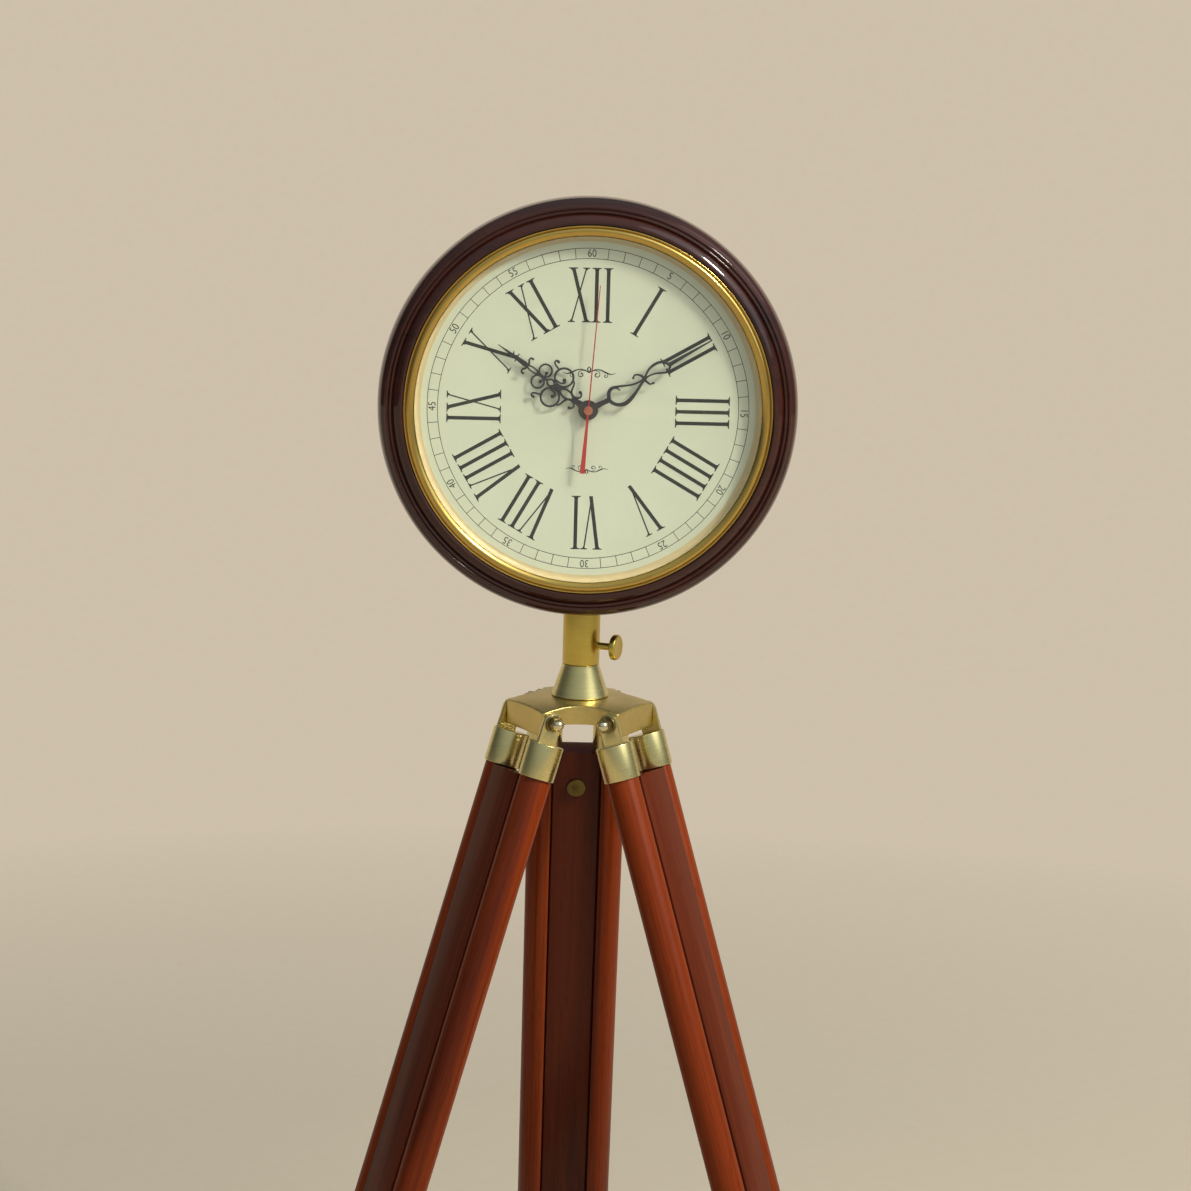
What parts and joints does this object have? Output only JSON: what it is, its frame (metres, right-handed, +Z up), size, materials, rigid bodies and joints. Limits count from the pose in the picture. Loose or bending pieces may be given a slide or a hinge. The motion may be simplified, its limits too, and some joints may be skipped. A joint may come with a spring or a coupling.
{
  "type": "floor clock",
  "caption": "Floor clock: a round wooden case with brass bezel, cream dial and filigree hands, on a folding brass and wood tripod with sliding leg boards.",
  "frame": {"origin": "on the floor, at the middle of the clock's footprint", "axes": "+Z up, the dial faces -Y, and the rear leg stands at +Y"},
  "size_m": [0.5156, 0.4466, 1.1059],
  "materials": {
    "case_wood": "gloss varnish, very dark red-brown",
    "leg_wood": "satin varnish, red-brown hardwood",
    "back_wood": "plain board, unpolished",
    "brass": "satin",
    "steel": "bright",
    "clear_glass": "clear",
    "cream_enamel": "matt cream enamel",
    "black_metal": "satin black",
    "red_metal": "satin red",
    "black_plastic": "matt",
    "white_plastic": "matt",
    "battery_sleeve": "gloss",
    "black_rubber": "matt"
  },
  "bodies": {
    "tripod_head": {"head_casting": "brass", "head_cone": "brass", "centre_post": "steel", "centre_nut": "steel", "hinge_bolt_rear": "steel", "hinge_bolt_front_left": "steel", "hinge_bolt_front_right": "steel", "acorn_nut_rear": "brass", "acorn_nut_front_left": "brass", "acorn_nut_front_right": "brass"},
    "clock_head": {"case_ring": "case_wood", "back_board": "back_wood", "back_screw_1": "brass", "back_screw_2": "brass", "back_screw_3": "brass", "bezel": "brass", "glass": "clear_glass", "dial": "cream_enamel", "movement_case": "black_plastic", "battery": "battery_sleeve", "hand_nut": "brass", "neck_sleeve": "brass", "neck_bolt": "steel"},
    "neck_screw": {"neck_thumb_screw": "brass"},
    "hour_hand": {"hour_hand": "black_metal"},
    "minute_hand": {"minute_hand": "black_metal"},
    "second_hand": {"second_hand": "red_metal"},
    "set_wheel": {"set_wheel": "white_plastic"},
    "leg_rear": {"ferrule_rear_left": "brass", "ferrule_rear_right": "brass", "rail_rear_left": "leg_wood", "rail_rear_right": "leg_wood", "collar_rear": "brass"},
    "clamp_screw_rear": {"clamp_screw_rear": "brass"},
    "foot_rear": {"centre_board_rear": "leg_wood", "board_disc_rear": "brass", "shoe_rear": "brass", "pad_rear": "black_rubber"},
    "leg_front_left": {"ferrule_front_left_left": "brass", "ferrule_front_left_right": "brass", "rail_front_left_left": "leg_wood", "rail_front_left_right": "leg_wood", "collar_front_left": "brass"},
    "clamp_screw_front_left": {"clamp_screw_front_left": "brass"},
    "foot_front_left": {"centre_board_front_left": "leg_wood", "board_disc_front_left": "brass", "shoe_front_left": "brass", "pad_front_left": "black_rubber"},
    "leg_front_right": {"ferrule_front_right_left": "brass", "ferrule_front_right_right": "brass", "rail_front_right_left": "leg_wood", "rail_front_right_right": "leg_wood", "collar_front_right": "brass"},
    "clamp_screw_front_right": {"clamp_screw_front_right": "brass"},
    "foot_front_right": {"centre_board_front_right": "leg_wood", "board_disc_front_right": "brass", "shoe_front_right": "brass", "pad_front_right": "black_rubber"}
  },
  "joints": [
    {"name": "clock_swivel", "type": "hinge", "parent": "tripod_head", "child": "clock_head", "pos_m": [0, -0.05744, 0.71033], "axis": [0, 0, 1], "continuous": true},
    {"name": "neck_screw_turn", "type": "hinge", "parent": "clock_head", "child": "neck_screw", "pos_m": [0.01445, -0.06358, 0.72633], "axis": [0.9205, -0.3907, 0], "range_deg": [0, 540]},
    {"name": "minute_hand_turn", "type": "hinge", "parent": "clock_head", "child": "minute_hand", "pos_m": [0, -0.11224, 0.93123], "axis": [0, 1, 0], "continuous": true},
    {"name": "hour_hand_turn", "type": "hinge", "parent": "clock_head", "child": "hour_hand", "pos_m": [0, -0.11224, 0.93123], "axis": [0, 1, 0], "continuous": true},
    {"name": "second_hand_turn", "type": "hinge", "parent": "clock_head", "child": "second_hand", "pos_m": [0, -0.11224, 0.93123], "axis": [0, 1, 0], "continuous": true},
    {"name": "set_wheel_turn", "type": "hinge", "parent": "clock_head", "child": "set_wheel", "pos_m": [0.015, -0.07784, 0.94373], "axis": [0, 1, 0], "continuous": true},
    {"name": "leg_rear_spread", "type": "hinge", "parent": "tripod_head", "child": "leg_rear", "pos_m": [0, -0.01044, 0.66853], "axis": [1, 0, 0], "range_deg": [-18.2, 15]},
    {"name": "leg_rear_extend", "type": "slide", "parent": "leg_rear", "child": "foot_rear", "axis": [0, 0.3123, -0.95], "range_m": [0, 0.45]},
    {"name": "clamp_screw_rear_turn", "type": "hinge", "parent": "leg_rear", "child": "clamp_screw_rear", "pos_m": [0, 0.1957, 0.08186], "axis": [0, 0.95, 0.3123], "range_deg": [0, 540]},
    {"name": "leg_front_left_spread", "type": "hinge", "parent": "tripod_head", "child": "leg_front_left", "pos_m": [-0.0407, -0.08094, 0.66853], "axis": [-0.5, 0.866, 0], "range_deg": [-18.2, 15]},
    {"name": "leg_front_left_extend", "type": "slide", "parent": "leg_front_left", "child": "foot_front_left", "axis": [-0.2705, -0.1562, -0.95], "range_m": [0, 0.45]},
    {"name": "clamp_screw_front_left_turn", "type": "hinge", "parent": "leg_front_left", "child": "clamp_screw_front_left", "pos_m": [-0.21923, -0.18402, 0.08186], "axis": [-0.8227, -0.475, 0.3123], "range_deg": [0, 540]},
    {"name": "leg_front_right_spread", "type": "hinge", "parent": "tripod_head", "child": "leg_front_right", "pos_m": [0.0407, -0.08094, 0.66853], "axis": [-0.5, -0.866, 0], "range_deg": [-18.2, 15]},
    {"name": "leg_front_right_extend", "type": "slide", "parent": "leg_front_right", "child": "foot_front_right", "axis": [0.2705, -0.1562, -0.95], "range_m": [0, 0.45]},
    {"name": "clamp_screw_front_right_turn", "type": "hinge", "parent": "leg_front_right", "child": "clamp_screw_front_right", "pos_m": [0.21923, -0.18402, 0.08186], "axis": [0.8227, -0.475, 0.3123], "range_deg": [0, 540]}
  ],
  "couplings": [
    {"joint": "hour_hand_turn", "follows": "minute_hand_turn", "ratio": 0.083333},
    {"joint": "second_hand_turn", "follows": "minute_hand_turn", "ratio": 60},
    {"joint": "set_wheel_turn", "follows": "minute_hand_turn", "ratio": -3}
  ]
}
